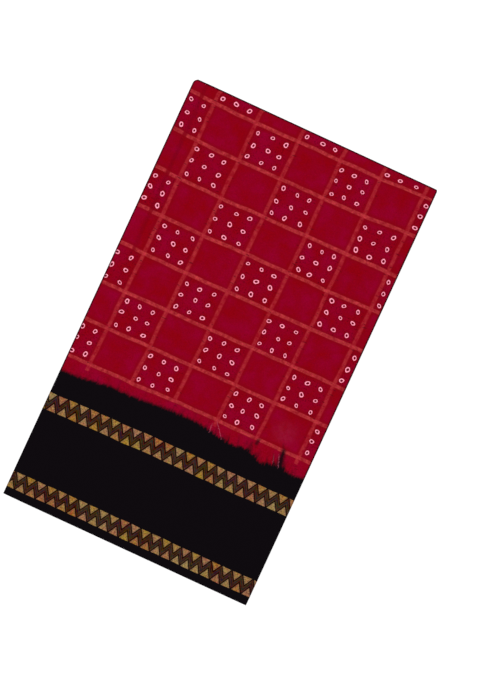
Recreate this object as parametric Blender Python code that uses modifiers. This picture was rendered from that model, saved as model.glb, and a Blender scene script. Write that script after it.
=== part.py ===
"""A tie-dyed saree, folded flat for the shelf.

The saree is one length of cloth. It is doubled across its width, so that both selvages lie at the
near edge, and then folded back and forth into a flat stack of sixteen runs. The last run is tucked
in under the one before it, so both sides of the top are folds. The solid is one sheet, and each of
its layers stands for the doubled cloth. A layer lies a little clear of the next one.

Metres. +X is to the right of the top run, +Y goes from the selvages to the long fold, and +Z is up.
The origin lies under the middle of the stack, on the surface that it rests on.
"""

import math
from collections import namedtuple

import bpy

MM = 0.001

# Sizes of the cloth before it is folded, and of the stack that comes of it
SAREE_LENGTH = 5.5
SAREE_WIDTH = 1.175
RUN_COUNT = 16
STACK_WIDTH = SAREE_LENGTH / RUN_COUNT
STACK_DEPTH = SAREE_WIDTH / 2

# One layer is two plies of cloth with a little air between them
LAYER_THICKNESS = 1.0 * MM

# The corners at the long fold are round: how far along the side each one reaches, and the angle
# that it turns through before it meets the long fold
LEFT = -1
RIGHT = 1
CORNER_LENGTHS = {LEFT: 5.5 * MM, RIGHT: 3.0 * MM}
CORNER_SWEEP = math.radians(50)

# Share of its height by which the stack sinks towards its sides and its selvages, and swells
SIDE_DROP = 0.015
NEAR_DROP = 0.022
SWELL = 0.015

# The top run steps down past the edge of the tucked run: where it starts and ends to sink,
# measured from that edge, and how far it goes
STEP_START = 2.0 * MM
STEP_END = 11.0 * MM
STEP_DROP = 0.8 * MM

# How finely the sheet is divided
RUN_CELLS = 5
TURN_CELLS = 4
LENGTHWAYS_CELLS = 6
CORNER_STEPS = (0.5, 0.2, 0.0)

# One row for each fold, from the end underneath to the tucked end. They lie at the left and the
# right by turns. In mm: how far the fold stays inside the outline at its near and far ends, how far
# the selvages and the long fold are drawn back there, and how high the run that starts here lies
# above the one under it.
Fold = namedtuple("Fold", "near_inset far_inset near_back far_back rise")
FOLDS = (
    Fold(3.0, 4.5, 1.6, 1.0, 0.00),
    Fold(1.2, 0.6, 2.2, 1.4, 1.44),
    Fold(0.8, 2.2, 1.0, 0.6, 1.40),
    Fold(2.6, 1.4, 0.4, 1.8, 1.46),
    Fold(1.6, 0.5, 1.8, 2.4, 1.38),
    Fold(0.4, 1.8, 2.6, 1.2, 1.50),
    Fold(2.4, 3.0, 1.2, 0.4, 1.42),
    Fold(1.8, 0.9, 0.6, 1.6, 1.40),
    Fold(0.6, 1.2, 2.0, 2.2, 1.48),
    Fold(2.2, 2.8, 2.8, 1.0, 1.38),
    Fold(2.9, 1.6, 1.4, 0.8, 1.44),
    Fold(0.9, 0.4, 0.5, 1.9, 1.52),
    Fold(1.1, 2.0, 1.7, 1.3, 1.40),
    Fold(2.0, 1.3, 2.3, 0.5, 1.46),
    Fold(0.0, 0.0, 0.0, 0.0, 1.42),
    Fold(0.0, 0.0, 0.0, 0.0, 1.50),
    Fold(27.5, 19.0, 2.5, 3.0, 0.00),
)
TOP_RUN = RUN_COUNT - 2
TUCKED_RUN = RUN_COUNT - 1


def blend(first, last, share):
    """The value that lies at a share of the way from first to last."""
    return first + (last - first) * share


def smooth(share):
    """A soft step from 0 to 1."""
    share = min(max(share, 0.0), 1.0)
    return share * share * (3.0 - 2.0 * share)


def side_of(fold_index):
    """The side of the stack at which a fold lies."""
    return LEFT if fold_index % 2 == 0 else RIGHT


def run_heights():
    """The even height of each run's middle, with the runs taken in the order in which they lie."""
    heights = {}
    height = LAYER_THICKNESS / 2
    for run in (*range(TOP_RUN), TUCKED_RUN, TOP_RUN):
        height += FOLDS[run].rise * MM
        heights[run] = height
    return heights


RUN_HEIGHTS = run_heights()


def swell(x, y):
    """Share by which the stack stands above or under its even height at a place."""
    across = 2.0 * x / STACK_WIDTH
    along = 2.0 * y / STACK_DEPTH
    sides = SIDE_DROP * across ** 4
    near = NEAR_DROP * max(-along, 0.0) ** 3
    wave = SWELL * math.sin(2.3 * along + 1.4 * across + 0.6)
    return wave - sides - near


def corner_angle(side, y):
    """How far a round corner has turned, at a place along the stack."""
    length = CORNER_LENGTHS[side]
    into_corner = max(y - STACK_DEPTH / 2 + length, 0.0)
    return math.asin(into_corner / length * math.sin(CORNER_SWEEP))


def corner_inset(side, y):
    """How far a round corner draws the side in, at a place along the stack."""
    radius = CORNER_LENGTHS[side] / math.sin(CORNER_SWEEP)
    return radius * (1.0 - math.cos(corner_angle(side, y)))


def outline_x(fold_index, y):
    """Where the outside of a fold lies, at a place along the stack."""
    fold = FOLDS[fold_index]
    side = side_of(fold_index)
    share = y / STACK_DEPTH + 0.5
    inset = blend(fold.near_inset, fold.far_inset, share) * MM
    inset += corner_inset(side, y)
    return side * (STACK_WIDTH / 2 - inset)


def height_at(run, x, y):
    """The height of a run's middle at a place."""
    even = RUN_HEIGHTS[run] - LAYER_THICKNESS / 2
    height = LAYER_THICKNESS / 2 + even * (1.0 + swell(x, y))
    if run == TOP_RUN:
        past_edge = outline_x(RUN_COUNT, y) - x
        height -= STEP_DROP * smooth((past_edge - STEP_START) / (STEP_END - STEP_START))
    return height


def turn_radius(fold_index, y):
    """Half of the height from one run to the next at their fold."""
    if fold_index in (0, RUN_COUNT):
        return 0.0
    x = outline_x(fold_index, y)
    return abs(height_at(fold_index, x, y) - height_at(fold_index - 1, x, y)) / 2


def turn_centre_x(fold_index, y):
    """Where the middle of a fold's arc lies, or the edge itself at the two ends of the cloth."""
    if fold_index in (0, RUN_COUNT):
        return outline_x(fold_index, y)
    inside = LAYER_THICKNESS / 2 + turn_radius(fold_index, y)
    return outline_x(fold_index, y) - side_of(fold_index) * inside


def run_places(run, y):
    """Where a run has its points across the stack, from its first fold to its last."""
    start = turn_centre_x(run, y)
    end = turn_centre_x(run + 1, y)
    places = []
    if run == TOP_RUN:
        edge = outline_x(RUN_COUNT, y)
        places.append(start)
        places.append(edge - STEP_END)
        start = edge - STEP_START
    for cell in range(RUN_CELLS + 1):
        places.append(blend(start, end, cell / RUN_CELLS))
    return places


def drawn_back(y, first, last, share):
    """A place along the stack, moved for the selvages and the long fold that are drawn back."""
    near_back = blend(first.near_back, last.near_back, share) * MM
    far_back = blend(first.far_back, last.far_back, share) * MM
    along = y / STACK_DEPTH + 0.5
    return y + blend(near_back, -far_back, along)


def section(y):
    """The points of the folded cloth's middle, all the way through the stack, at one place."""
    points = []
    for run in range(RUN_COUNT):
        first, last = FOLDS[run], FOLDS[run + 1]
        start = turn_centre_x(run, y)
        end = turn_centre_x(run + 1, y)
        for x in run_places(run, y):
            share = (x - start) / (end - start)
            points.append((x, drawn_back(y, first, last, share), height_at(run, x, y)))
        if run + 1 < RUN_COUNT:
            points.extend(turn(run + 1, y))
    return points


def turn(fold_index, y):
    """The points of one fold's arc, between the two runs that it joins."""
    x = turn_centre_x(fold_index, y)
    start = height_at(fold_index - 1, x, y)
    end = height_at(fold_index, x, y)
    radius = turn_radius(fold_index, y)
    fold = FOLDS[fold_index]
    side = side_of(fold_index)
    outwards = LAYER_THICKNESS / 2 * math.tan(corner_angle(side, y) / 2)
    place = drawn_back(y, fold, fold, 0.0) - outwards
    points = []
    for cell in range(1, TURN_CELLS):
        angle = math.pi * cell / TURN_CELLS
        out = side * radius * math.sin(angle)
        height = blend(start, end, (1.0 - math.cos(angle)) / 2)
        points.append((x + out, place, height))
    return points


def lengthways_places():
    """Where the sections lie, closer together at the round corners of the long fold."""
    far_edge = STACK_DEPTH / 2
    corner = max(CORNER_LENGTHS.values())
    places = []
    for cell in range(LENGTHWAYS_CELLS + 1):
        places.append(blend(-far_edge, far_edge - corner, cell / LENGTHWAYS_CELLS))
    for share in CORNER_STEPS:
        places.append(far_edge - corner * share)
    return places


def srgb_to_linear(value):
    """A colour value of a screen, from 0 to 255, as a share of light."""
    share = value / 255
    return share / 12.92 if share <= 0.04045 else ((share + 0.055) / 1.055) ** 2.4


def dyed_cotton():
    """Fine cotton, dyed a deep red."""
    material = bpy.data.materials.new("dyed_cotton")
    material.use_nodes = True
    shader = material.node_tree.nodes["Principled BSDF"]
    red = [srgb_to_linear(value) for value in (140, 1, 30)]
    shader.inputs["Base Color"].default_value = (*red, 1.0)
    shader.inputs["Roughness"].default_value = 0.85
    shader.inputs["Metallic"].default_value = 0.0
    return material


def saree(collection):
    """The folded cloth: its middle as an open sheet, made thick on both sides."""
    sections = [section(y) for y in lengthways_places()]
    columns = len(sections[0])
    points = [point for row in sections for point in row]
    faces = []
    for row in range(len(sections) - 1):
        for column in range(columns - 1):
            first = row * columns + column
            faces.append((first, first + 1, first + 1 + columns, first + columns))
    mesh = bpy.data.meshes.new("saree")
    mesh.from_pydata(points, [], faces)
    mesh.materials.append(dyed_cotton())
    mesh.shade_smooth()
    cloth = bpy.data.objects.new("saree", mesh)
    collection.objects.link(cloth)
    layer = cloth.modifiers.new("layer", "SOLIDIFY")
    layer.thickness = LAYER_THICKNESS
    layer.offset = 0.0
    layer.use_even_offset = True
    layer.use_quality_normals = True
    return cloth


for old in list(bpy.data.objects):
    bpy.data.objects.remove(old, do_unlink=True)

folded_saree = bpy.data.collections.new("folded_saree")
bpy.context.scene.collection.children.link(folded_saree)
saree(folded_saree)
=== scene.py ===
"""The looks of a tie-dyed saree, folded flat for the shelf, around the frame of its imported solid.

Metres, +X to the right of the top run, +Y from the selvages to the long fold, +Z up.
"""

import math
from collections import namedtuple

import bpy
import numpy as np
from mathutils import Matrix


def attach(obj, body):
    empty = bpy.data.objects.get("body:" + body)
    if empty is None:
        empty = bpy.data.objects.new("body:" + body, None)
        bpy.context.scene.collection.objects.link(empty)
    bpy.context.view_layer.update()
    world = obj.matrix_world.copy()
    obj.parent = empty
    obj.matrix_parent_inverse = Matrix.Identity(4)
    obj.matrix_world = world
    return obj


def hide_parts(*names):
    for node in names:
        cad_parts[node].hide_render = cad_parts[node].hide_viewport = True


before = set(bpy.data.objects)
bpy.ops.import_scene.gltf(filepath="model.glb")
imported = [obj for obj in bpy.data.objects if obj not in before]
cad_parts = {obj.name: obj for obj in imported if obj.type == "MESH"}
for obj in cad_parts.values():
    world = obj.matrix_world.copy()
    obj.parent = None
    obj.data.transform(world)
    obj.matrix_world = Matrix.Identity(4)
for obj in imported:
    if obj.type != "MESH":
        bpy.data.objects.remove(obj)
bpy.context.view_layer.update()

# The saree's cloth
# One length of fine cotton, doubled across its width with both selvages at the near edge, then
# folded back and forth in sixteen runs, the last of which is tucked in under the top one. It is
# pressed flat by hand and held by nothing but its own weight.

MM = 0.001
SAREE_LENGTH = 5.5
SAREE_WIDTH = 1.175
RUN_COUNT = 16
STACK_WIDTH = SAREE_LENGTH / RUN_COUNT
STACK_DEPTH = SAREE_WIDTH / 2

# A layer is two plies: its whole thickness, one ply's own, and how far a ply's middle lies from
# the layer's
LAYER_THICKNESS = 1.0 * MM
PLY_THICKNESS = 0.3 * MM
PLY_OFFSET = 0.34 * MM

# The round corners at the long fold: how far along the side each reaches, and its angle
LEFT = -1
RIGHT = 1
CORNER_LENGTHS = {LEFT: 6.5 * MM, RIGHT: 3.0 * MM}
CORNER_SWEEPS = {LEFT: math.radians(85), RIGHT: math.radians(60)}

# Share of its height by which the stack sinks at its sides and its selvages, and swells
SIDE_DROP = 0.015
EDGE_DROP = 0.028
NEAR_DROP = 0.022
SWELL = 0.015

# The top run steps down past the edge of the tucked run, measured from that edge
STEP_START = 2.0 * MM
STEP_END = 11.0 * MM
STEP_DROP = 0.8 * MM

# How far the folds that the top run hides wave in and out, the length of a wave, and the angle by
# which each fold's wave is shifted against the one before
FOLD_WAVE = 0.5 * MM
FOLD_WAVE_LENGTH = 140 * MM
FOLD_WAVE_SHIFT = 2.4

# One row for each fold, as in the solid, from the end underneath to the tucked end. They lie at
# the left and the right by turns. In mm: how far the fold stays inside the outline at its near and
# far ends, how far the selvages and the long fold are drawn back, and the rise to the run above.
Fold = namedtuple("Fold", "near_inset far_inset near_back far_back rise")
FOLDS = (
    Fold(3.0, 4.5, 1.6, 1.0, 0.00),
    Fold(1.2, 0.6, 2.2, 1.4, 1.44),
    Fold(0.8, 2.2, 1.0, 0.6, 1.40),
    Fold(2.6, 1.4, 0.4, 1.8, 1.46),
    Fold(1.6, 0.5, 1.8, 2.4, 1.38),
    Fold(0.4, 1.8, 2.6, 1.2, 1.50),
    Fold(2.4, 3.0, 1.2, 0.4, 1.42),
    Fold(1.8, 0.9, 0.6, 1.6, 1.40),
    Fold(0.6, 1.2, 2.0, 2.2, 1.48),
    Fold(2.2, 2.8, 2.8, 1.0, 1.38),
    Fold(2.9, 1.6, 1.4, 0.8, 1.44),
    Fold(0.9, 0.4, 0.5, 1.9, 1.52),
    Fold(1.1, 2.0, 1.7, 1.3, 1.40),
    Fold(2.0, 1.3, 2.3, 0.5, 1.46),
    Fold(0.0, 0.0, 0.0, 0.0, 1.42),
    Fold(0.0, 0.0, 0.0, 0.0, 1.50),
    Fold(27.5, 19.0, 2.5, 3.0, 0.00),
)
TOP_RUN = RUN_COUNT - 2
TUCKED_RUN = RUN_COUNT - 1

# Soft ridges and troughs of the top run. In mm: from the left side and from the
# selvages, the ridge's length, width and height. Its angle is in degrees from the selvages' line.
Ripple = namedtuple("Ripple", "across along angle length width height")
RIPPLES = (
    Ripple(318, 545, 20, 60, 14, 0.45),
    Ripple(300, 470, 75, 220, 26, 0.30),
    Ripple(215, 520, 5, 190, 24, 0.35),
    Ripple(120, 400, 82, 260, 34, 0.30),
    Ripple(232, 300, 12, 240, 30, 0.35),
    Ripple(70, 250, 65, 160, 22, 0.30),
    Ripple(300, 195, 80, 70, 9, 0.55),
    Ripple(264, 186, 70, 50, 8, 0.40),
    Ripple(170, 90, 4, 300, 40, 0.35),
    Ripple(60, 70, 80, 140, 26, 0.25),
    Ripple(290, 60, 70, 130, 24, 0.30),
)

# The pressed crease over the tucked edge: how far to the left of that edge it lies, its width, the
# share of its width that is pressed whole, its depth, and how far from the selvages it starts and is
# whole
CREASE_BACK = 1.4 * MM
CREASE_WIDTH = 6.0 * MM
CREASE_WHOLE = 0.35
CREASE_DEPTH = 0.22 * MM
CREASE_FADE = (235 * MM, 430 * MM)

# The painted shade at the top run's folds and the long fold, standing in for the shade where the cloth
# turns away
# from the light: how far from the outline it is whole and where it ends, and the same for how far below the
# middle of the top run
FOLD_SHADE_REACH = (0.7 * MM, 2.7 * MM)
FOLD_SHADE_BELOW = (0.0 * MM, 0.7 * MM)

# The weave to the left of the crease has slipped towards the long fold
CREASE_SLIP = 1.0 * MM

# How the weave is pulled out of line with the folds. In mm, for a distance from the selvages: how
# far it leans to the right, and how far it is pulled towards the long fold at the left side, a
# quarter of the way, the middle, three quarters of the way and the right side.
Pull = namedtuple("Pull", "along lean left quarter middle three_quarters right")
PULLS = (
    Pull(0.0, -2.3, 0.0, 0.0, 0.0, 0.0, 0.0),
    Pull(22.0, -2.3, -0.7, 0.0, 0.0, 0.0, 0.2),
    Pull(135.4, -2.3, -3.3, -1.2, 0.1, 0.1, 1.7),
    Pull(199.7, -2.3, -2.7, -1.5, 1.3, 1.1, 1.1),
    Pull(252.5, -0.6, -3.8, -2.8, -1.7, -0.9, 0.1),
    Pull(305.3, 0.1, -4.8, -3.6, -2.2, -0.8, -0.4),
    Pull(358.1, 1.4, -1.7, -2.7, -1.4, -0.4, 1.5),
    Pull(410.9, 2.0, -2.0, -1.9, -0.5, 0.3, 2.0),
    Pull(463.7, 2.2, -0.5, -1.9, -0.8, 0.5, 1.8),
    Pull(516.5, 2.7, 0.5, -1.6, 0.2, 1.3, 5.2),
    Pull(569.3, 2.6, 1.0, -1.0, 0.5, 1.2, 4.6),
    Pull(587.5, 2.6, 0.0, 0.0, 0.0, 0.0, 0.0),
)

# The upper edge of the black dip dye on the top run. In mm: from the left side, from the selvages,
# and how far the dye has crept along the threads.
Dip = namedtuple("Dip", "across along crept")
DIPS = (
    Dip(0, 176, 4), Dip(28, 177, 4), Dip(45, 180, 4), Dip(68, 183, 5), Dip(98, 183, 5),
    Dip(120, 185, 4), Dip(148, 187.5, 5), Dip(185, 188.5, 5), Dip(205, 186, 6), Dip(222, 182, 6),
    Dip(240, 181, 6), Dip(252, 182, 7), Dip(261, 184.5, 8), Dip(272, 180, 7), Dip(284, 175.5, 6),
    Dip(293, 178, 9), Dip(300, 180, 10), Dip(310, 182.5, 8), Dip(317, 179, 6), Dip(328, 177, 5),
    Dip(344, 180, 4),
)

# The lines along the cloth are set a little unevenly. In mm, for a distance from the left side: how
# far the weave lies to the right there.
Uneven = namedtuple("Uneven", "across right")
UNEVEN = (
    Uneven(0, 0.0), Uneven(34, 0.0), Uneven(93, 0.1), Uneven(153, 0.8), Uneven(213, 1.8), Uneven(270, -1.3),
    Uneven(329, -1.0), Uneven(344, -1.0),
)

# How finely the cloth is divided. The top run's cells are counted from its left side: at the edge,
# up to the crease, over it, past it, and at the other edge.
HIDDEN_CELLS = 5
UNDER_CELLS = 14
EDGE_CELLS = 2
EDGE_REACH = 1.6 * MM
TOP_CELLS = (EDGE_CELLS, 3, 20, 72, EDGE_CELLS)
TURN_CELLS = 8
LONG_FOLD_CELLS = 6
UPPER_PLY_CELLS = 92
LOWER_PLY_CELLS = 32
CORNER_CELLS = 6


def blend(first, last, share):
    """The value that lies at a share of the way from first to last."""
    return first + (last - first) * share


def smooth(share):
    """A soft step from 0 to 1."""
    share = np.clip(share, 0.0, 1.0)
    return share * share * (3.0 - 2.0 * share)


def ramp(place, limits):
    """A soft step from 0 at the first limit to 1 at the second."""
    return smooth((place - limits[0]) / (limits[1] - limits[0]))


def side_of(fold_index):
    """The side of the stack at which a fold lies."""
    return LEFT if fold_index % 2 == 0 else RIGHT


def run_heights():
    """The even height of each run's middle, with the runs taken in the order in which they lie."""
    heights = {}
    height = LAYER_THICKNESS / 2
    for run in (*range(TOP_RUN), TUCKED_RUN, TOP_RUN):
        height += FOLDS[run].rise * MM
        heights[run] = height
    return heights


RUN_HEIGHTS = run_heights()


def swell(x, y):
    """Share by which the stack stands above or under its even height at a place."""
    across = 2.0 * x / STACK_WIDTH
    along = 2.0 * y / STACK_DEPTH
    sides = SIDE_DROP * across ** 4 + EDGE_DROP * across ** 30
    near = NEAR_DROP * np.maximum(-along, 0.0) ** 3
    wave = SWELL * np.sin(2.3 * along + 1.4 * across + 0.6)
    return wave - sides - near


def corner_inset(side, y):
    """How far a round corner draws the side in, at a place along the stack."""
    length = CORNER_LENGTHS[side]
    radius = length / math.sin(CORNER_SWEEPS[side])
    into_corner = np.clip(y - STACK_DEPTH / 2 + length, 0.0, length)
    return radius * (1.0 - np.cos(np.arcsin(into_corner / radius)))


def outline_x(fold_index, y):
    """Where the outside of a fold lies, at places along the stack."""
    fold = FOLDS[fold_index]
    side = side_of(fold_index)
    share = y / STACK_DEPTH + 0.5
    inset = blend(fold.near_inset, fold.far_inset, share) * MM
    if 0 < fold_index < TOP_RUN:
        wave = np.sin(math.tau * y / FOLD_WAVE_LENGTH + FOLD_WAVE_SHIFT * fold_index)
        inset = inset + FOLD_WAVE * (1.0 + wave)
    inset = inset + corner_inset(side, y)
    return side * (STACK_WIDTH / 2 - inset)


def crease_x(y):
    """Where the pressed crease runs across the top run."""
    return outline_x(RUN_COUNT, y) - CREASE_BACK


def crease_strength(x, y):
    """How strongly the top run is creased at a place, from 0 to 1."""
    near = 1.0 - smooth(np.abs(x - crease_x(y)) / CREASE_WIDTH * 2.0 - CREASE_WHOLE)
    return near * ramp(y + STACK_DEPTH / 2, CREASE_FADE)


def fold_shade_strength(x, y, z):
    """How strongly the painted shade darkens the cloth by the folds of the top run at a place, from 0 to 1.
    """
    inset = np.where(x < 0.0, corner_inset(LEFT, y), corner_inset(RIGHT, y))
    from_edge = np.minimum(STACK_WIDTH / 2 - inset - np.abs(x), STACK_DEPTH / 2 - y)
    below_top = height_at(TOP_RUN, x, y) - z
    return (1.0 - ramp(from_edge, FOLD_SHADE_REACH)) * (1.0 - ramp(below_top, FOLD_SHADE_BELOW))


def ripple_height(x, y):
    """How far the soft ridges lift the top run at a place."""
    height = np.zeros(np.broadcast(x, y).shape)
    for ripple in RIPPLES:
        angle = math.radians(ripple.angle)
        across = x + STACK_WIDTH / 2 - ripple.across * MM
        along = y + STACK_DEPTH / 2 - ripple.along * MM
        lengthways = across * math.cos(angle) + along * math.sin(angle)
        sideways = along * math.cos(angle) - across * math.sin(angle)
        reach = (lengthways / (ripple.length * MM / 2)) ** 2 + (sideways / (ripple.width * MM / 2)) ** 2
        height = height + ripple.height * MM * np.exp(-reach)
    return height


def height_at(run, x, y):
    """The height of a run's middle at a place."""
    even = RUN_HEIGHTS[run] - LAYER_THICKNESS / 2
    height = LAYER_THICKNESS / 2 + even * (1.0 + swell(x, y))
    if run == TOP_RUN:
        past_edge = outline_x(RUN_COUNT, y) - x
        height = height - STEP_DROP * smooth((past_edge - STEP_START) / (STEP_END - STEP_START))
        height = height + ripple_height(x, y) - CREASE_DEPTH * crease_strength(x, y)
    return height


def turn_radius(fold_index, y):
    """Half of the height from one run to the next at their fold."""
    if fold_index in (0, RUN_COUNT):
        return 0.0 * y
    x = outline_x(fold_index, y)
    return np.abs(height_at(fold_index, x, y) - height_at(fold_index - 1, x, y)) / 2


def turn_centre_x(fold_index, y):
    """Where the middle of a fold's arc lies, or the edge itself at the two ends of the cloth."""
    if fold_index in (0, RUN_COUNT):
        return outline_x(fold_index, y)
    inside = LAYER_THICKNESS / 2 + turn_radius(fold_index, y)
    return outline_x(fold_index, y) - side_of(fold_index) * inside


def run_places(run, y):
    """Where a run has its points across the stack, closer together at the top run's crease."""
    start = turn_centre_x(run, y)
    end = turn_centre_x(run + 1, y)
    if run != TOP_RUN:
        cells = UNDER_CELLS if run == 0 else HIDDEN_CELLS
        return [blend(start, end, cell / cells) for cell in range(cells + 1)]
    stops = (
        start, start + EDGE_REACH, crease_x(y) - STEP_END, crease_x(y) + CREASE_WIDTH,
        end - EDGE_REACH, end,
    )
    places = [start]
    for first, last, cells in zip(stops, stops[1:], TOP_CELLS):
        places += [blend(first, last, cell / cells) for cell in range(1, cells + 1)]
    return places


def drawn_back(y, first, last, share):
    """A place along the stack, moved for the selvages and the long fold that are drawn back."""
    near_back = blend(first.near_back, last.near_back, share) * MM
    far_back = blend(first.far_back, last.far_back, share) * MM
    return y + blend(near_back, -far_back, y / STACK_DEPTH + 0.5)


# A column is a line from the selvages to the long fold, at one place on the way through the folds:
# its points, the way in which its upper ply lies from its middle, and its place along the cloth
Column = namedtuple("Column", "x y z out_x out_z cloth run")
TURN_CLOTH = 1.1 * MM


def run_columns(run, y):
    """The columns of one flat run."""
    first, last = FOLDS[run], FOLDS[run + 1]
    start = turn_centre_x(run, y)
    end = turn_centre_x(run + 1, y)
    facing = 1 if run % 2 == 0 else -1
    nudge = 0.1 * MM
    columns = []
    for x in run_places(run, y):
        share = (x - start) / (end - start)
        z = height_at(run, x, y)
        slope = (height_at(run, x + nudge, y) - height_at(run, x - nudge, y)) / (2 * nudge)
        size = np.hypot(slope, 1.0)
        cloth = run * STACK_WIDTH + blend(TURN_CLOTH, STACK_WIDTH - TURN_CLOTH, share)
        place = drawn_back(y, first, last, share)
        columns.append(Column(x, place, z, -facing * slope / size, facing / size, cloth, run))
    return columns


def turn_columns(fold_index, y):
    """The columns of one fold's arc, between the two runs that it joins."""
    x = turn_centre_x(fold_index, y)
    start = height_at(fold_index - 1, x, y)
    end = height_at(fold_index, x, y)
    rises = 1 if fold_index != TUCKED_RUN else -1
    side = side_of(fold_index)
    fold = FOLDS[fold_index]
    columns = []
    for cell in range(1, TURN_CELLS):
        angle = math.pi * cell / TURN_CELLS
        out = side * turn_radius(fold_index, y) * math.sin(angle)
        z = blend(start, end, (1.0 - math.cos(angle)) / 2)
        cloth = fold_index * STACK_WIDTH + TURN_CLOTH * (2.0 * cell / TURN_CELLS - 1.0)
        out_x = -rises * math.sin(angle) + 0.0 * y
        out_z = side * math.cos(angle) + 0.0 * y
        place = drawn_back(y, fold, fold, 0.0)
        columns.append(Column(x + out, place, z, out_x, out_z, cloth + 0.0 * y, None))
    return columns


def all_columns(y):
    """Every column of the folded cloth, in the order in which the cloth runs."""
    columns = []
    for run in range(RUN_COUNT):
        columns += run_columns(run, y)
        if run + 1 < RUN_COUNT:
            columns += turn_columns(run + 1, y)
    return columns


def pulled(x, y):
    """How far the weave leans to the right and is pulled to the long fold, at places on the stack."""
    along = (y + STACK_DEPTH / 2) / MM
    rows = [row.along for row in PULLS]
    lean = np.interp(along, rows, [row.lean for row in PULLS])
    across = np.clip(x / STACK_WIDTH + 0.5, 0.0, 1.0)
    line_places = [row.across for row in UNEVEN]
    lean += np.interp(across * STACK_WIDTH / MM, line_places, [row.right for row in UNEVEN])
    quarters = across * 4
    quarter = np.minimum(quarters.astype(int), 3)
    share = smooth(quarters - quarter)
    pulls = [np.interp(along, rows, [row[2 + place] for row in PULLS]) for place in range(5)]
    at_quarters = np.stack(pulls)
    left = np.take_along_axis(at_quarters, quarter[None], 0)[0]
    right = np.take_along_axis(at_quarters, quarter[None] + 1, 0)[0]
    return lean * MM, blend(left, right, share) * MM


def grid_of(columns, rows_y, side):
    """Points and cloth places of one ply: above the layer's middle for side 1, under it for -1."""
    x = np.stack([column.x for column in columns], 1)
    y = np.stack([column.y for column in columns], 1)
    z = np.stack([column.z for column in columns], 1)
    out_x = np.stack([column.out_x for column in columns], 1)
    out_z = np.stack([column.out_z for column in columns], 1)
    cloth = np.stack([column.cloth for column in columns], 1)
    points = np.stack([x + side * PLY_OFFSET * out_x, y, z + side * PLY_OFFSET * out_z], -1)
    rows_y = np.broadcast_to(rows_y[:, None], x.shape)
    lean, pull = pulled(x, rows_y)
    along = rows_y + STACK_DEPTH / 2
    creased = smooth((crease_x(rows_y) - x) / CREASE_WIDTH + 0.5)
    slip = CREASE_SLIP * creased * ramp(along, CREASE_FADE)
    length_place = cloth - lean
    width_place = along - pull - slip
    if side < 0:
        width_place = SAREE_WIDTH - width_place
    return points, np.stack([length_place, width_place], -1), x, rows_y


far_row = STACK_DEPTH / 2 - PLY_OFFSET - PLY_THICKNESS / 2
corner_start = STACK_DEPTH / 2 - max(CORNER_LENGTHS.values())
# The rows are closer together where the round corners are steepest
corner_shares = np.sin(np.linspace(0.0, math.pi / 2, CORNER_CELLS + 1))[1:]
corner_rows = blend(corner_start, far_row, corner_shares)
upper_rows = np.append(np.linspace(-STACK_DEPTH / 2, corner_start, UPPER_PLY_CELLS + 1), corner_rows)
lower_rows = np.append(np.linspace(-STACK_DEPTH / 2, corner_start, LOWER_PLY_CELLS + 1), corner_rows)

upper_columns = all_columns(upper_rows)
upper, upper_cloth, upper_x, upper_y = grid_of(upper_columns, upper_rows, 1)
lower, lower_cloth, lower_x, lower_y = grid_of(all_columns(lower_rows), lower_rows, -1)
lower, lower_cloth, lower_x, lower_y = lower[::-1], lower_cloth[::-1], lower_x[::-1], lower_y[::-1]

# The long fold joins the two plies' far rows by a half circle
turned = math.pi * np.arange(1, LONG_FOLD_CELLS) / LONG_FOLD_CELLS
across_fold = ((1.0 - np.cos(turned)) / 2)[:, None, None]
long_fold = upper[-1][None] * (1.0 - across_fold) + lower[0][None] * across_fold
long_fold[..., 1] += (PLY_OFFSET * np.sin(turned))[:, None]
fold_cloth = blend(upper_cloth[-1][None], lower_cloth[0][None], (turned / math.pi)[:, None, None])
fold_x = np.repeat(upper_x[-1:], len(turned), 0)
fold_y = np.repeat(upper_y[-1:], len(turned), 0)

points = np.concatenate([upper, long_fold, lower])
cloth_places = np.concatenate([upper_cloth, fold_cloth, lower_cloth])
points_x = np.concatenate([upper_x, fold_x, lower_x])
points_y = np.concatenate([upper_y, fold_y, lower_y])
row_count, column_count = points.shape[:2]
runs = np.array([-1 if column.run is None else column.run for column in upper_columns])
creased = np.where(runs[None] == TOP_RUN, crease_strength(points_x, points_y), 0.0)
# Painted shade at the folds, carried on the cloth as a mark
fold_shade = fold_shade_strength(points[..., 0], points[..., 1], points[..., 2])
across = (points_x + STACK_WIDTH / 2) / MM
dip_places = [dip.across for dip in DIPS]
dip_edge = np.interp(across, dip_places, [dip.along for dip in DIPS])
above_dip = (points_y + STACK_DEPTH / 2) / MM - dip_edge
crept = np.interp(across, dip_places, [dip.crept for dip in DIPS])

# The map that the finish is kept through gives most of its room to what shows: the top, the
# underside, the outside of the folds at the sides, and the long fold. The rest shares a narrow strip.
Room = namedtuple("Room", "left right low high")
TOP_ROOM = Room(0.002, 0.628, 0.002, 0.898)
UNDER_ROOM = Room(0.632, 0.846, 0.002, 0.898)
TURN_ROOM = Room(0.850, 0.978, 0.002, 0.898)
HIDDEN_ROOM = Room(0.982, 0.998, 0.002, 0.898)
LONG_FOLD_ROOM = Room(0.002, 0.998, 0.904, 0.998)

# The share of its strip that is left free at each side of a run's long fold, and the share of its
# strip that half of a turn at the side takes up
LONG_FOLD_MARGIN = 0.05
HALF_TURN_SHARE = 0.45


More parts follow.
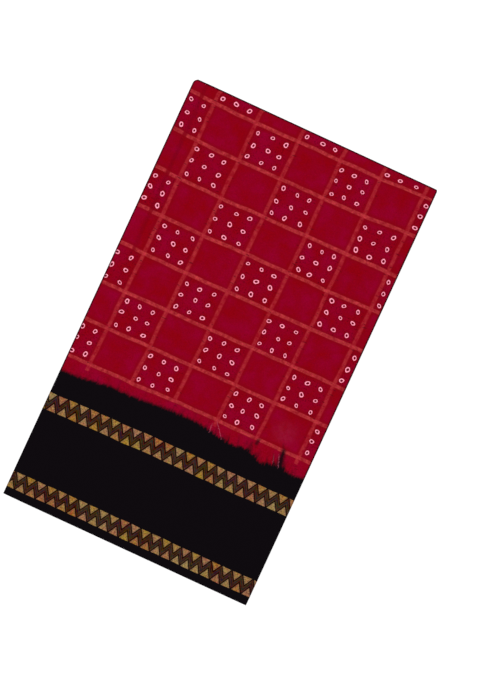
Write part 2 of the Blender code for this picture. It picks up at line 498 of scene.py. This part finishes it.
def room_for(row, column):
    """The room of the face that starts at a row and a column, and the column's place in it."""
    on_upper = row < len(upper_rows) - 1
    on_lower = row >= len(upper_rows) - 1 + LONG_FOLD_CELLS
    run = max(runs[column], runs[column + 1])
    in_turn = -1 in (runs[column], runs[column + 1])
    if not on_upper and not on_lower:
        return LONG_FOLD_ROOM
    if in_turn:
        fold_index = int(round(upper_columns[column].cloth[0] / STACK_WIDTH))
        outside_is_upper = side_of(fold_index) == LEFT or fold_index == TUCKED_RUN
        return TURN_ROOM if on_upper == outside_is_upper else HIDDEN_ROOM
    if on_upper and run == TOP_RUN:
        return TOP_ROOM
    if on_lower and run == 0:
        return UNDER_ROOM
    return HIDDEN_ROOM


def map_place(room, row, column):
    """Where a point of the grid lies in its room."""
    length_share = upper_columns[column].cloth[0] / SAREE_LENGTH
    x_share = min(max(points_x[row, column] / STACK_WIDTH + 0.5, 0.0), 1.0)
    y_share = points_y[row, column] / STACK_DEPTH + 0.5
    if room is LONG_FOLD_ROOM:
        run = min(int(length_share * RUN_COUNT), RUN_COUNT - 1)
        turned_share = (row - len(upper_rows) + 1) / LONG_FOLD_CELLS
        in_strip = blend(LONG_FOLD_MARGIN, 1.0 - LONG_FOLD_MARGIN, turned_share)
        shares = length_share * RUN_COUNT - run, (run + in_strip) / RUN_COUNT
    elif room is TURN_ROOM:
        fold_index = round(length_share * RUN_COUNT)
        turned_share = (upper_columns[column].cloth[0] - fold_index * STACK_WIDTH) / TURN_CLOTH
        in_strip = 0.5 + HALF_TURN_SHARE * turned_share
        shares = (fold_index - 1 + in_strip) / (RUN_COUNT - 1), y_share
    elif room is HIDDEN_ROOM:
        shares = length_share, y_share
    else:
        shares = x_share, y_share
    return blend(room.left, room.right, shares[0]), blend(room.low, room.high, shares[1])


faces = []
map_places = []
for row in range(row_count - 1):
    for column in range(column_count - 1):
        first = row * column_count + column
        faces.append((first, first + 1, first + 1 + column_count, first + column_count))
        room = room_for(row, column)
        map_places.append(map_place(room, row, column))
        map_places.append(map_place(room, row, column + 1))
        map_places.append(map_place(room, row + 1, column + 1))
        map_places.append(map_place(room, row + 1, column))

sheet = bpy.data.meshes.new("thin_cloth")
sheet.from_pydata(points.reshape(-1, 3).tolist(), [], faces)
marks = {"creased": creased, "fold_shade": fold_shade, "above_dip": above_dip, "crept": crept}
for name, values in marks.items():
    sheet.attributes.new(name, "FLOAT", "POINT").data.foreach_set("value", values.ravel())
corners = np.empty(len(sheet.loops), dtype=np.int32)
sheet.loops.foreach_get("vertex_index", corners)
weave = cloth_places.reshape(-1, 2)[corners] / MM
sheet.uv_layers.new(name="weave").uv.foreach_set("vector", weave.ravel())
sheet.uv_layers.new(name="OFBake").uv.foreach_set("vector", np.array(map_places).ravel())

# Each ply gets its thickness, and the thickened mesh takes the place of the thin one. Only the
# plies' cut edges are sharp.
SHARP_ANGLE = math.radians(50)
thin = bpy.data.objects.new("thin_cloth", sheet)
bpy.context.scene.collection.objects.link(thin)
ply = thin.modifiers.new("ply", "SOLIDIFY")
ply.thickness = PLY_THICKNESS
ply.offset = 0.0
ply.use_even_offset = True
ply.use_quality_normals = True
thick = bpy.data.meshes.new_from_object(thin.evaluated_get(bpy.context.evaluated_depsgraph_get()))
bpy.data.objects.remove(thin, do_unlink=True)
bpy.data.meshes.remove(sheet)
thick.shade_smooth()
thick.set_sharp_from_angle(angle=SHARP_ANGLE)
thick.name = "saree_cloth"
cloth = bpy.data.objects.new("saree_cloth", thick)
bpy.context.scene.collection.objects.link(cloth)


def linear(colour):
    """A screen colour, written as #RRGGBB, as shares of light with full cover."""
    shares = [int(colour[start:start + 2], 16) / 255 for start in (1, 3, 5)]
    light = [s / 12.92 if s <= 0.04045 else ((s + 0.055) / 1.055) ** 2.4 for s in shares]
    return (*light, 1.0)


def add(tree, kind, *inputs, **settings):
    """A new node. Its inputs are values, sockets, or nodes whose first output it takes."""
    node = tree.nodes.new("ShaderNode" + kind)
    for name, value in settings.items():
        setattr(node, name, value)
    open_inputs = [socket for socket in node.inputs if socket.enabled]
    for socket, given in zip(open_inputs, inputs):
        if isinstance(given, bpy.types.Node):
            given = next(output for output in given.outputs if output.enabled)
        if isinstance(given, bpy.types.NodeSocket):
            tree.links.new(given, socket)
        elif given is not None:
            socket.default_value = given
    return node


# Dyed cotton: matt, deep red where it is tied and dyed, black where it was dipped at the border
dyed_cotton = bpy.data.materials.new("dyed_cotton")
dyed_cotton.use_nodes = True
cotton = dyed_cotton.node_tree
shader = cotton.nodes["Principled BSDF"]
places = add(cotton, "UVMap", uv_map="weave")
split = add(cotton, "SeparateXYZ", places)
length_place = split.outputs["X"]
from_selvage = add(cotton, "Math", split.outputs["Y"], SAREE_WIDTH / 2 / MM, operation="PINGPONG")

# Woven lines wander by up to half a millimetre, as hand-set threads do
wander = add(cotton, "TexNoise", places, 0.03, 2.0)
wandered = add(cotton, "MapRange", wander, 0.3, 0.7, -0.6, 0.6)
warp_place = add(cotton, "Math", length_place, wandered, operation="ADD")
weft_place = add(cotton, "Math", from_selvage, wandered, operation="ADD")

# The red is mottled by the dye bath, in patches of some centimetres
mottle = add(cotton, "TexNoise", places, 0.035, 4.0, 0.65)
red = add(cotton, "ValToRGB", mottle)
red.color_ramp.elements[0].position = 0.36
red.color_ramp.elements[0].color = linear("#83000E")
red.color_ramp.elements[1].position = 0.66
red.color_ramp.elements[1].color = linear("#870027")
red.color_ramp.elements.new(0.5).color = linear("#83001A")
slubs = add(cotton, "TexNoise", places, 0.5, 3.0, 0.7)
slub = add(cotton, "MapRange", slubs, 0.3, 0.7, 0.86, 1.14)
red = add(cotton, "VectorMath", red, slub, operation="SCALE")

# Check lines: metal thread woven in bands about 5 mm wide, 59 mm apart along the cloth and 52.75 mm
# apart across it. Two of each five warp lines reach on a little into the plain strip by the border.
CHECK_LENGTH = 59.0
CHECK_WIDTH = 52.75
FIRST_WARP_LINE = 7.8
FIRST_WEFT_LINE = 199.4
from_warp_line = add(cotton, "Math", warp_place, FIRST_WARP_LINE, operation="SUBTRACT")
from_weft_line = add(cotton, "Math", weft_place, FIRST_WEFT_LINE, operation="SUBTRACT")
warp_gap = add(cotton, "Math", from_warp_line, CHECK_LENGTH / 2, operation="PINGPONG")
weft_gap = add(cotton, "Math", from_weft_line, CHECK_WIDTH / 2, operation="PINGPONG")
in_checks = add(cotton, "Math", from_weft_line, -3.0, operation="GREATER_THAN")
warp_number = add(cotton, "Math", from_warp_line, CHECK_LENGTH, operation="DIVIDE")
warp_number = add(cotton, "Math", warp_number, operation="ROUND")
five_lines = add(cotton, "Math", warp_number, 4.0, operation="ADD")
five_lines = add(cotton, "Math", five_lines, 2.5, operation="PINGPONG")
reaches_on = add(cotton, "Math", five_lines, 1.0, 0.1, operation="COMPARE")
warp_end = add(cotton, "Math", reaches_on, -6.5, -2.5, operation="MULTIPLY_ADD")
warp_on = add(cotton, "Math", from_weft_line, warp_end, operation="GREATER_THAN")
warp_line = add(cotton, "MapRange", warp_gap, 1.3, 3.1, 1.0, 0.0, interpolation_type="SMOOTHSTEP")
warp_line = add(cotton, "Math", warp_line, warp_on, operation="MULTIPLY")
weft_line = add(cotton, "MapRange", weft_gap, 1.7, 2.9, 1.0, 0.0, interpolation_type="SMOOTHSTEP")
weft_line = add(cotton, "Math", weft_line, in_checks, operation="MULTIPLY")
worn = add(cotton, "TexNoise", places, 0.16, 4.0, 0.75)
warp_cover = add(cotton, "MapRange", worn, 0.36, 0.64, 0.0, 0.64)
weft_cover = add(cotton, "MapRange", worn, 0.36, 0.64, 0.22, 0.95)
warp_zari = add(cotton, "Math", warp_line, warp_cover, operation="MULTIPLY")
weft_zari = add(cotton, "Math", weft_line, weft_cover, operation="MULTIPLY")
crease = add(cotton, "Attribute", attribute_name="creased")
uncreased = add(cotton, "MapRange", crease.outputs["Fac"], 0.1, 0.7, 1.0, 0.12)
weft_zari = add(cotton, "Math", weft_zari, uncreased, operation="MULTIPLY")
zari = add(cotton, "Math", warp_zari, weft_zari, operation="MAXIMUM")
tarnish = add(cotton, "MapRange", slubs, 0.35, 0.65, 0.0, 1.0)
zari_colour = add(cotton, "Mix", tarnish, linear("#B22A3E"), linear("#A63A31"), data_type="RGBA")

# The red is a little brighter among and next to the metal threads of a warp line
beside_warp = add(cotton, "MapRange", warp_gap, 1.8, 3.8, 0.24, 0.0, interpolation_type="SMOOTHSTEP")
beside_warp = add(cotton, "Math", beside_warp, warp_on, operation="MULTIPLY")

# A few threads next to the warp lines are snagged, each for some millimetres
nick_place = add(cotton, "VectorMath", places, (0.1, 0.45, 0.0), operation="MULTIPLY")
nicks = add(cotton, "TexNoise", nick_place, 1.0, 1.0)
nick = add(cotton, "MapRange", nicks, 0.66, 0.71, 0.0, 0.75)
by_warp_line = add(cotton, "MapRange", warp_gap, 4.0, 7.0, 1.0, 0.0, interpolation_type="SMOOTHSTEP")
nick = add(cotton, "Math", nick, by_warp_line, operation="MULTIPLY")

# The red is a little darker along both sides of a line
line_gap = add(cotton, "Math", warp_gap, weft_gap, operation="MINIMUM")
flank = add(cotton, "MapRange", line_gap, 3.5, 8.0, 0.6, 0.0, interpolation_type="SMOOTHSTEP")
flank = add(cotton, "Math", flank, in_checks, operation="MULTIPLY")

# Tied rings: nine to a check, in every other check, each tied by hand with its own place and shape
RING_COLUMNS = (7.4, 19.0)
RING_ROWS = (9.3, 16.4)
RING_RADIUS = 2.18

# In the checks by the crease of the top run the rings are tied a little further along than in others
CHECK_BY_CREASE = 81
TIED_FURTHER = 2.8
check_number = add(cotton, "Math", from_warp_line, CHECK_LENGTH, operation="DIVIDE")
check_number = add(cotton, "Math", check_number, operation="FLOOR")
check_row = add(cotton, "Math", from_weft_line, CHECK_WIDTH, operation="DIVIDE")
check_row = add(cotton, "Math", check_row, operation="FLOOR")
into_check = add(cotton, "Math", from_warp_line, CHECK_LENGTH, operation="FLOORED_MODULO")
into_row = add(cotton, "Math", from_weft_line, CHECK_WIDTH, operation="FLOORED_MODULO")
by_crease = add(cotton, "Math", check_number, CHECK_BY_CREASE, 0.1, operation="COMPARE")
into_check = add(cotton, "Math", by_crease, -TIED_FURTHER, into_check, operation="MULTIPLY_ADD")

# The place of a point from the middle of its ring, which is moved by the hand and by the pucker of
# the cloth, turned and stretched
ring_numbers = []
from_rings = []
for into, (first, step) in ((into_check, RING_COLUMNS), (into_row, RING_ROWS)):
    number = add(cotton, "Math", into, first, operation="SUBTRACT")
    number = add(cotton, "Math", number, step, operation="DIVIDE")
    number = add(cotton, "Math", number, operation="ROUND")
    number = add(cotton, "Math", number, 2.0, operation="MINIMUM")
    centre = add(cotton, "Math", number, step, first, operation="MULTIPLY_ADD")
    ring_numbers.append(number)
    from_rings.append(add(cotton, "Math", into, centre, operation="SUBTRACT"))
ring_across = add(cotton, "Math", check_number, 3.0, ring_numbers[0], operation="MULTIPLY_ADD")
ring_up = add(cotton, "Math", check_row, 3.0, ring_numbers[1], operation="MULTIPLY_ADD")
ring_name = add(cotton, "CombineXYZ", ring_across, ring_up)
chance = add(cotton, "TexWhiteNoise", ring_name, noise_dimensions="2D")
check_name = add(cotton, "CombineXYZ", check_number, check_row)
check_chance = add(cotton, "TexWhiteNoise", check_name, noise_dimensions="2D")
pucker = add(cotton, "TexNoise", places, 0.3, 1.0)
ring_place = add(cotton, "CombineXYZ", *from_rings)
for moves, reach in ((chance, (3.0, 2.6, 0.0)), (check_chance, (3.6, 2.4, 0.0)), (pucker, (1.5, 1.5, 0.0))):
    moved = add(cotton, "VectorMath", moves.outputs["Color"], (0.5, 0.5, 0.5), operation="SUBTRACT")
    ring_place = add(cotton, "VectorMath", moved, reach, ring_place, operation="MULTIPLY_ADD")
angle = add(cotton, "Math", chance, math.tau, operation="MULTIPLY")
ring_place = add(cotton, "VectorRotate", ring_place, None, angle, rotation_type="Z_AXIS")
ring_place = add(cotton, "VectorMath", ring_place, (0.88, 1.14, 0.0), operation="MULTIPLY")
ring_size = add(cotton, "SeparateXYZ", chance.outputs["Color"])
ring_size = add(cotton, "MapRange", ring_size.outputs["Z"], 0.0, 1.0, 0.86, 1.16)
ring_place = add(cotton, "VectorMath", ring_place, ring_size, operation="SCALE")
from_ring = add(cotton, "VectorMath", ring_place, operation="LENGTH").outputs["Value"]

# The tie kept the dye off the ring's wall. The dye is deeper in its middle and around it.
from_wall = add(cotton, "Math", from_ring, RING_RADIUS, operation="SUBTRACT")
from_wall = add(cotton, "Math", from_wall, operation="ABSOLUTE")
ring = add(cotton, "MapRange", from_wall, 0.36, 0.82, 1.0, 0.0, interpolation_type="SMOOTHSTEP")
parity = add(cotton, "Math", check_number, check_row, operation="ADD")
tied = add(cotton, "Math", parity, 2.0, operation="FLOORED_MODULO")
tied = add(cotton, "Math", tied, in_checks, operation="MULTIPLY")
clear = add(cotton, "MapRange", chance.outputs["Color"], 0.0, 0.08, 0.5, 1.0)
patchy = add(cotton, "MapRange", worn, 0.35, 0.5, 0.85, 1.0)
for share in (tied, clear, patchy):
    ring = add(cotton, "Math", ring, share, operation="MULTIPLY")
shade = add(cotton, "MapRange", from_ring, 1.6, 6.5, 0.75, 0.0, interpolation_type="SMOOTHSTEP")
shade = add(cotton, "Math", shade, tied, operation="MULTIPLY")
pooled = add(cotton, "MapRange", slubs, 0.36, 0.47, 0.75, 0.0)
by_ring = add(cotton, "MapRange", from_ring, 7.0, 13.0, 1.0, 0.0, interpolation_type="SMOOTHSTEP")
for share in (by_ring, tied):
    pooled = add(cotton, "Math", pooled, share, operation="MULTIPLY")
hole = add(cotton, "MapRange", from_ring, 1.5, 2.2, 1.0, 0.0, interpolation_type="SMOOTHSTEP")
hole = add(cotton, "Math", hole, tied, operation="MULTIPLY")

# The dip dye feathers up the threads by a few millimetres
dip = add(cotton, "Attribute", attribute_name="above_dip")
reach = add(cotton, "Attribute", attribute_name="crept")
thread_place = add(cotton, "VectorMath", places, (0.32, 0.13, 0.0), operation="MULTIPLY")
threads = add(cotton, "TexNoise", thread_place, 1.0, 3.0, 0.65)
threads = add(cotton, "MapRange", threads, 0.34, 0.66, 0.32, -0.32)
crept_up = add(cotton, "Math", threads, reach.outputs["Fac"], operation="MULTIPLY")
above_dip_edge = add(cotton, "Math", crept_up, dip.outputs["Fac"], operation="ADD")
dipped = add(cotton, "MapRange", above_dip_edge, -3.2, 3.2, 1.0, 0.0, interpolation_type="SMOOTHSTEP")

# Narrow marks on the top run: dye that ran up the threads past the edge, and threads that came
# loose. In mm, from the top run's left side and from the selvages: where each mark starts and ends,
# and half its width there. Then the share of the cloth that it covers. The top run's left side is
# the given length from the cloth's first end.
TOP_RUN_START = 4815.5
Mark = namedtuple("Mark", "top_across top_along foot_across foot_along half_width foot_half_width cover")
DYE_RUNS = (
    Mark(304.5, 203.0, 308.0, 178.0, 2.2, 5.2, 0.95),
    Mark(300.5, 209.0, 303.0, 201.0, 1.2, 1.6, 0.35),
    Mark(295.0, 191.0, 300.0, 177.0, 0.9, 1.3, 0.60),
    Mark(289.0, 184.0, 291.0, 175.0, 0.9, 1.2, 0.50),
    Mark(270.0, 201.0, 269.0, 192.5, 2.1, 2.3, 0.75),
    Mark(263.5, 194.0, 262.5, 182.0, 1.6, 3.4, 0.50),
    Mark(232.0, 187.0, 233.5, 179.0, 1.1, 1.4, 0.45),
)
LOOSE_THREADS = (
    Mark(208.0, 198.0, 223.0, 181.0, 0.45, 0.45, 0.55),
    Mark(204.0, 192.0, 205.0, 182.0, 0.45, 0.45, 0.45),
    Mark(301.5, 193.0, 307.5, 177.0, 0.45, 0.45, 0.40),
    Mark(295.5, 190.0, 298.5, 180.0, 0.45, 0.45, 0.30),
)


def marked(marks):
    """The cover of narrow marks on the top run, each soft at its sides and its ends."""
    covered = None
    for mark in marks:
        middle = add(cotton, "MapRange", weft_place, mark.top_along, mark.foot_along,
                     TOP_RUN_START + mark.top_across, TOP_RUN_START + mark.foot_across)
        aside = add(cotton, "Math", ragged_place, middle, operation="SUBTRACT")
        aside = add(cotton, "Math", aside, operation="ABSOLUTE")
        half_width = add(cotton, "MapRange", weft_place, mark.top_along, mark.foot_along,
                         mark.half_width, mark.foot_half_width)
        aside = add(cotton, "Math", aside, half_width, operation="DIVIDE")
        cover = add(cotton, "MapRange", aside, 0.3, 1.7, mark.cover, 0.0)
        top, foot = mark.top_along, mark.foot_along
        under_top = add(cotton, "MapRange", weft_place, top + 2.0, top - 3.0, 0.0, 1.0)
        over_foot = add(cotton, "MapRange", weft_place, foot - 2.0, foot, 0.0, 1.0)
        for share in (under_top, over_foot):
            cover = add(cotton, "Math", cover, share, operation="MULTIPLY")
        covered = cover if covered is None else add(cotton, "Math", covered, cover, operation="MAXIMUM")
    return covered


ragged = add(cotton, "MapRange", slubs, 0.3, 0.7, -1.2, 1.2)
ragged_place = add(cotton, "Math", length_place, ragged, operation="ADD")
dye_runs = marked(DYE_RUNS)
loose_threads = marked(LOOSE_THREADS)

# The strip of red above the dip is brighter, and soft blots of the black dye have crept into it
bright = add(cotton, "MapRange", from_weft_line, -3.0, 2.0, 1.0, 0.0, interpolation_type="SMOOTHSTEP")
brighter = add(cotton, "MapRange", slubs, 0.4, 0.6, 0.0, 0.45)
bright = add(cotton, "Math", bright, brighter, operation="MULTIPLY")
blot_place = add(cotton, "VectorMath", places, (0.16, 0.09, 0.0), operation="MULTIPLY")
blots = add(cotton, "TexNoise", blot_place, 1.0, 3.0, 0.65)
blotted = add(cotton, "MapRange", blots, 0.47, 0.62, 0.0, 0.6)
near_dip = add(cotton, "MapRange", dip.outputs["Fac"], 3.0, 19.0, 1.0, 0.0, interpolation_type="SMOOTHSTEP")
crept_there = add(cotton, "MapRange", reach.outputs["Fac"], 4.0, 9.0, 0.35, 1.0)
for share in (near_dip, crept_there):
    blotted = add(cotton, "Math", blotted, share, operation="MULTIPLY")

# One check at the right of the top run carries a painted highlight: a soft paler patch, with paler threads
# in it
HIGHLIGHT_PLACE = (TOP_RUN_START + 296.0, 221.0, 0.0)
from_highlight = add(cotton, "VectorMath", places, HIGHLIGHT_PLACE, operation="DISTANCE").outputs["Value"]
painted_highlight = add(cotton, "MapRange", from_highlight, 2.0, 24.0, 1.0, 0.0, interpolation_type="SMOOTHSTEP")
highlight_threads = add(cotton, "MapRange", worn, 0.36, 0.66, 0.02, 0.09)
painted_highlight = add(cotton, "Math", painted_highlight, highlight_threads, operation="MULTIPLY")

# Two bands of zigzags woven in metal thread, 22 mm wide, with the teeth about 15 mm apart. The
# zigzag's rise and the place of its dark core are shares of the band's width.
Band = namedtuple("Band", "low high pitch first_tooth")
BANDS = (Band(11.3, 33.4, 14.60, 0.1), Band(124.1, 146.8, 14.81, 12.75))
ZIGZAG_RISE = 0.568
CORE_PLACE = 0.784
CORE_GREYS = (0.3, 0.31, 0.34)
BAND_COLOURS = (
    (0.00, "#1E140E"), (0.06, "#482210"), (0.165, "#46200E"), (0.20, "#0E0402"), (0.30, "#100602"),
    (0.325, "#7A5A3E"), (0.50, "#92683A"), (0.72, "#8C6230"), (1.00, "#866038"),
)
core_threads = add(cotton, "TexNoise", places, 0.15, 2.0)
flecks = add(cotton, "TexNoise", places, 0.33, 2.0)
core_colour = add(cotton, "VectorMath", core_threads.outputs["Color"], CORE_GREYS, operation="SUBTRACT")
core_colour = add(cotton, "VectorMath", core_colour, 0.07, operation="SCALE")
in_bands = None
band_colour = None
for band in BANDS:
    rise = add(cotton, "MapRange", weft_place, band.low, band.high, 0.0, 1.0, clamp=False)
    tooth_place = add(cotton, "Math", length_place, band.first_tooth, operation="SUBTRACT")
    tooth_gap = add(cotton, "Math", tooth_place, band.pitch / 2, operation="PINGPONG")
    slope = add(cotton, "Math", tooth_gap, 2 * ZIGZAG_RISE / band.pitch, rise, operation="MULTIPLY_ADD")
    from_core = add(cotton, "Math", slope, CORE_PLACE, operation="SUBTRACT")
    from_core = add(cotton, "Math", from_core, operation="ABSOLUTE")
    colour = add(cotton, "ValToRGB", from_core)
    ramp_stops = colour.color_ramp.elements
    ramp_stops[0].color = linear(BAND_COLOURS[0][1])
    ramp_stops[1].color = linear(BAND_COLOURS[-1][1])
    for place, screen_colour in BAND_COLOURS[1:-1]:
        ramp_stops.new(place).color = linear(screen_colour)
    above_core = add(cotton, "Math", slope, CORE_PLACE, operation="GREATER_THAN")
    tooth = add(cotton, "Math", tooth_place, band.pitch, operation="DIVIDE")
    tooth = add(cotton, "Math", above_core, -0.5, tooth, operation="MULTIPLY_ADD")
    tooth = add(cotton, "Math", tooth, operation="ROUND")
    tooth_row = add(cotton, "Math", above_core, band.low, operation="ADD")
    tooth_name = add(cotton, "CombineXYZ", tooth, tooth_row)
    tint = add(cotton, "TexWhiteNoise", tooth_name, noise_dimensions="2D")
    tooth_hue = add(cotton, "MapRange", tint, 0.0, 1.0, 0.48, 0.525)
    hue = add(cotton, "MapRange", flecks, 0.35, 0.65, -0.025, 0.025)
    hue = add(cotton, "Math", hue, tooth_hue, operation="ADD")
    patch = add(cotton, "MapRange", slubs, 0.38, 0.62, 0.46, 1.16)
    tint_shares = add(cotton, "SeparateXYZ", tint.outputs["Color"])
    strength = add(cotton, "MapRange", tint_shares.outputs["Z"], 0.0, 1.0, 0.89, 1.08)
    tinted = add(cotton, "HueSaturation", hue, strength, patch, 1.0, colour)
    core = add(cotton, "MapRange", from_core, 0.06, 0.12, 0.7, 0.0)
    tinted = add(cotton, "Mix", core, tinted, core_colour, data_type="RGBA")
    inside = add(cotton, "Math", rise, 0.5, 0.5, operation="COMPARE")
    tinted = tinted.outputs["Result"]
    if in_bands is None:
        in_bands, band_colour = inside, tinted
    else:
        band_colour = add(cotton, "Mix", inside, band_colour, tinted, data_type="RGBA").outputs["Result"]
        in_bands = add(cotton, "Math", in_bands, inside, operation="MAXIMUM")

# The colours lie over each other: the red and its shades, a painted highlight on one check, painted shade
# in the crease, the rings, the metal thread, the painted shade at the folds, the black dye, loose threads,
# and the bands
# Painted shade: the cloth is darkened at the top run's folds and the long fold, where it turns away from
# the light
fold = add(cotton, "Attribute", attribute_name="fold_shade").outputs["Fac"]
# Painted shade along the crease: the red is darkened where the crease's trough lies in shade
creased = add(cotton, "Math", crease.outputs["Fac"], 0.24, operation="MULTIPLY")
layers = (
    (bright, "#8C0228"), (painted_highlight, "#B84870"), (creased, "#50000C"), (flank, "#7C020C"),
    (shade, "#78000D"), (pooled, "#52000C"), (hole, "#620010"), (ring, "#FF9AB3"),
    (beside_warp, "#AC1429"), (zari, zari_colour), (nick, "#4A0410"), (fold, "#22040B"),
    (blotted, "#3A0412"), (dye_runs, "#12060C"), (dipped, "#0C080C"), (loose_threads, "#B05068"),
)
colour = red
for cover, over in layers:
    over = linear(over) if isinstance(over, str) else over.outputs["Result"]
    colour = add(cotton, "Mix", cover, colour, over, data_type="RGBA").outputs["Result"]
colour = add(cotton, "Mix", in_bands, colour, band_colour, data_type="RGBA")
cotton.links.new(colour.outputs["Result"], shader.inputs["Base Color"])
undipped = add(cotton, "Math", 1.0, dipped, operation="SUBTRACT")
metal = add(cotton, "Math", zari, undipped, operation="MULTIPLY")
metal = add(cotton, "Math", metal, in_bands, operation="MAXIMUM")
metallic = add(cotton, "Math", metal, 0.5, operation="MULTIPLY")
cotton.links.new(metallic.outputs[0], shader.inputs["Metallic"])
rough = add(cotton, "MapRange", metal, 0.0, 1.0, 0.85, 0.55)
cotton.links.new(rough.outputs[0], shader.inputs["Roughness"])
shader.inputs["Specular IOR Level"].default_value = 0.015

# The weave is drawn four times coarser than its 0.3 mm threads, which no view would show. The rings
# stand up a little where the ties pulled the cloth.
thread_heights = []
for place in (length_place, split.outputs["Y"]):
    thread = add(cotton, "Math", place, 0.6, operation="PINGPONG")
    thread_heights.append(add(cotton, "Math", thread, 0.05, operation="MULTIPLY"))
height = add(cotton, "Math", *thread_heights, operation="ADD")
height = add(cotton, "Math", ring, 0.18, height, operation="MULTIPLY_ADD")
height = add(cotton, "Math", metal, 0.05, height, operation="MULTIPLY_ADD")
relief = add(cotton, "Bump", 1.0, 1.0 * MM)
cotton.links.new(height.outputs[0], relief.inputs["Height"])
cotton.links.new(relief.outputs["Normal"], shader.inputs["Normal"])
thick.materials.append(dyed_cotton)

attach(cloth, "root")
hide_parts("saree")

# Floor
# A sheet of white card, wider than the photo, that the saree lies on. Nothing holds it.

CARD_SIZE = 4.0
card = bpy.data.meshes.new("white_card")
half = CARD_SIZE / 2
card_corners = [(-half, -half, 0), (half, -half, 0), (half, half, 0), (-half, half, 0)]
card.from_pydata(card_corners, [], [(0, 1, 2, 3)])
floor = bpy.data.objects.new("white_card", card)
bpy.context.scene.collection.objects.link(floor)
white_card = bpy.data.materials.new("white_card")
white_card.use_nodes = True
card_shader = white_card.node_tree.nodes["Principled BSDF"]
card_shader.inputs["Base Color"].default_value = linear("#9A9A9A")
card_shader.inputs["Roughness"].default_value = 0.9
card_shader.inputs["Emission Color"].default_value = linear("#FFFFFF")
card_shader.inputs["Emission Strength"].default_value = 0.82
card.materials.append(white_card)

# Light
# One broad soft box straight above, and a dim white room around it.

soft_box = bpy.data.lights.new("soft_box", "AREA")
soft_box.shape = "SQUARE"
soft_box.size = 4.0
soft_box.energy = 128.0
lamp = bpy.data.objects.new("soft_box", soft_box)
lamp.location = (-0.3, 0.25, 3.2)
bpy.context.scene.collection.objects.link(lamp)
room_light = bpy.data.worlds.new("white_room")
room_light.use_nodes = True
background = room_light.node_tree.nodes["Background"]
background.inputs["Color"].default_value = linear("#FFFFFF")
background.inputs["Strength"].default_value = 0.35
bpy.context.scene.world = room_light
bpy.context.scene.view_settings.view_transform = "Standard"

# Camera
# It looks straight down, turned so that the saree lies askew, as in the photo.

TURNED = math.radians(24.80)
SEEN_LENGTH = 0.8739
LENS = 100.0
SENSOR = 36.0
TOP_HEIGHT = 0.0229
RIGHT_OF_STACK = 23.2 * MM
ABOVE_STACK = 1.61 * MM
lens = bpy.data.cameras.new("camera")
lens.lens = LENS
lens.sensor_width = SENSOR
camera = bpy.data.objects.new("camera", lens)
camera.location = (
    RIGHT_OF_STACK * math.cos(TURNED) - ABOVE_STACK * math.sin(TURNED),
    RIGHT_OF_STACK * math.sin(TURNED) + ABOVE_STACK * math.cos(TURNED),
    TOP_HEIGHT + SEEN_LENGTH * LENS / SENSOR,
)
camera.rotation_euler = (0.0, 0.0, TURNED)
bpy.context.scene.collection.objects.link(camera)
bpy.context.scene.camera = camera
